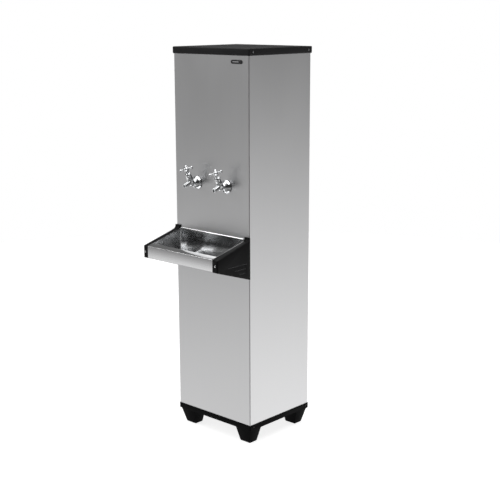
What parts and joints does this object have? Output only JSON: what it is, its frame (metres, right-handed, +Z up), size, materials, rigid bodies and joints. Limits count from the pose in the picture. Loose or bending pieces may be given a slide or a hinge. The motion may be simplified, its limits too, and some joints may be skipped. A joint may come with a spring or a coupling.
{
  "type": "drinking fountain",
  "caption": "Free-standing column drinking fountain with two cross-handle taps over a projecting steel basin, black cover and footed base.",
  "frame": {"origin": "on the floor, at the middle of the footprint's box, from the basin's front to the rear fittings", "axes": "+Z up; the front with taps and basin faces -Y; +X is the right hand of a person facing the front"},
  "size_m": [0.3708, 0.5058, 1.4],
  "materials": {
    "base_plastic": "fine moulded texture, satin",
    "cabinet_steel": "satin brushed stainless sheet",
    "rear_steel": "plain satin steel sheet",
    "cover_plastic": "fine moulded texture, satin",
    "badge_plastic": "gloss black with a plain raised silver bar",
    "screw_steel": "bright plated",
    "basin_steel": "polished inside, satin apron",
    "bracket_plastic": "satin moulded",
    "zinc_steel": "zinc plated",
    "tap_chrome": "polished chrome plate",
    "seal_rubber": "matte",
    "pipe_plastic": "moulded",
    "hose_rubber": "smooth",
    "valve_brass": "turned brass",
    "copper_pipe": null,
    "tank_steel": "welded stainless",
    "tank_plastic": "moulded white",
    "foam_white": "moulded bead foam",
    "float_plastic": "blow-moulded float",
    "filter_plastic": "moulded white",
    "compressor_paint": "black stove enamel",
    "fin_aluminium": "pressed fins",
    "fan_plastic": "moulded blades",
    "knob_plastic": "moulded"
  },
  "bodies": {
    "cabinet": {"base_tray": "base_plastic", "cabinet_wrap": "cabinet_steel", "rear_panel": "rear_steel", "top_cover": "cover_plastic", "badge": "badge_plastic", "cover_screws": "screw_steel", "base_screws": "screw_steel", "rear_panel_screws": "screw_steel", "basin_pan": "basin_steel", "bracket_left": "bracket_plastic", "bracket_right": "bracket_plastic", "bracket_face_screws": "screw_steel", "bracket_bolts": "zinc_steel", "drain_strainer": "tap_chrome", "drain_gasket": "seal_rubber", "drain_elbow": "pipe_plastic", "drain_hose": "hose_rubber", "drain_spigot": "pipe_plastic", "tap_body_left": "tap_chrome", "tap_body_right": "tap_chrome", "tap_bonnet_left": "tap_chrome", "tap_bonnet_right": "tap_chrome", "tap_flanges": "tap_chrome", "tap_locknuts": "valve_brass", "tap_gaskets": "seal_rubber", "supply_manifold": "copper_pipe", "tank_shelf": "zinc_steel", "chiller_tank": "tank_steel", "tank_lid": "tank_plastic", "evaporator_coil": "copper_pipe", "insulation_front": "foam_white", "insulation_rear": "foam_white", "insulation_cap": "foam_white", "float_valve_body": "valve_brass", "inlet_nipple": "valve_brass", "inlet_filter": "filter_plastic", "inlet_tube": "filter_plastic", "compressor": "compressor_paint", "compressor_plate": "zinc_steel", "compressor_grommets": "seal_rubber", "relay_box": "pipe_plastic", "condenser_fins": "fin_aluminium", "condenser_coil": "copper_pipe", "fan_shroud": "pipe_plastic", "fan_motor": "pipe_plastic", "filter_drier": "copper_pipe", "refrigerant_lines": "copper_pipe", "thermostat_body": "pipe_plastic", "cord_gland": "knob_plastic"},
    "handle_left": {"tap_spindle_left": "valve_brass", "tap_handle_left": "tap_chrome"},
    "handle_right": {"tap_spindle_right": "valve_brass", "tap_handle_right": "tap_chrome"},
    "plunger_left": {"tap_plunger_left": "valve_brass"},
    "plunger_right": {"tap_plunger_right": "valve_brass"},
    "stat_knob": {"thermostat_knob": "knob_plastic"},
    "fan": {"fan_rotor": "fan_plastic"},
    "float": {"float_arm": "zinc_steel", "float_ball": "float_plastic"},
    "float_piston": {"float_plunger": "tank_plastic"}
  },
  "joints": [
    {"name": "tap_turn_left", "type": "hinge", "parent": "cabinet", "child": "handle_left", "pos_m": [-0.072, -0.1161, 0.928], "axis": [0, -0.4384, 0.8988], "range_deg": [0, 405]},
    {"name": "plunger_lift_left", "type": "slide", "parent": "cabinet", "child": "plunger_left", "axis": [0, -0.4384, 0.8988], "range_m": [0, 0.00225]},
    {"name": "tap_turn_right", "type": "hinge", "parent": "cabinet", "child": "handle_right", "pos_m": [0.072, -0.1161, 0.928], "axis": [0, -0.4384, 0.8988], "range_deg": [0, 405]},
    {"name": "plunger_lift_right", "type": "slide", "parent": "cabinet", "child": "plunger_right", "axis": [0, -0.4384, 0.8988], "range_m": [0, 0.00225]},
    {"name": "thermostat_turn", "type": "hinge", "parent": "cabinet", "child": "stat_knob", "pos_m": [-0.09, 0.2309, 0.4], "axis": [0, 1, 0], "range_deg": [0, 270]},
    {"name": "fan_spin", "type": "hinge", "parent": "cabinet", "child": "fan", "pos_m": [0.085, 0.1749, 0.184], "axis": [0, 1, 0], "continuous": true},
    {"name": "float_swing", "type": "hinge", "parent": "cabinet", "child": "float", "pos_m": [-0.078, 0.0709, 1.256], "axis": [0, -1, 0], "range_deg": [0, 12]},
    {"name": "float_plunger_lift", "type": "slide", "parent": "cabinet", "child": "float_piston", "axis": [0, 0, 1], "range_m": [0, 0.00377]}
  ],
  "couplings": [
    {"joint": "tap_turn_left", "follows": "plunger_lift_left", "rad_per_m": 3141.6},
    {"joint": "tap_turn_right", "follows": "plunger_lift_right", "rad_per_m": 3141.6},
    {"joint": "float_swing", "follows": "float_plunger_lift", "rad_per_m": 55.5}
  ]
}
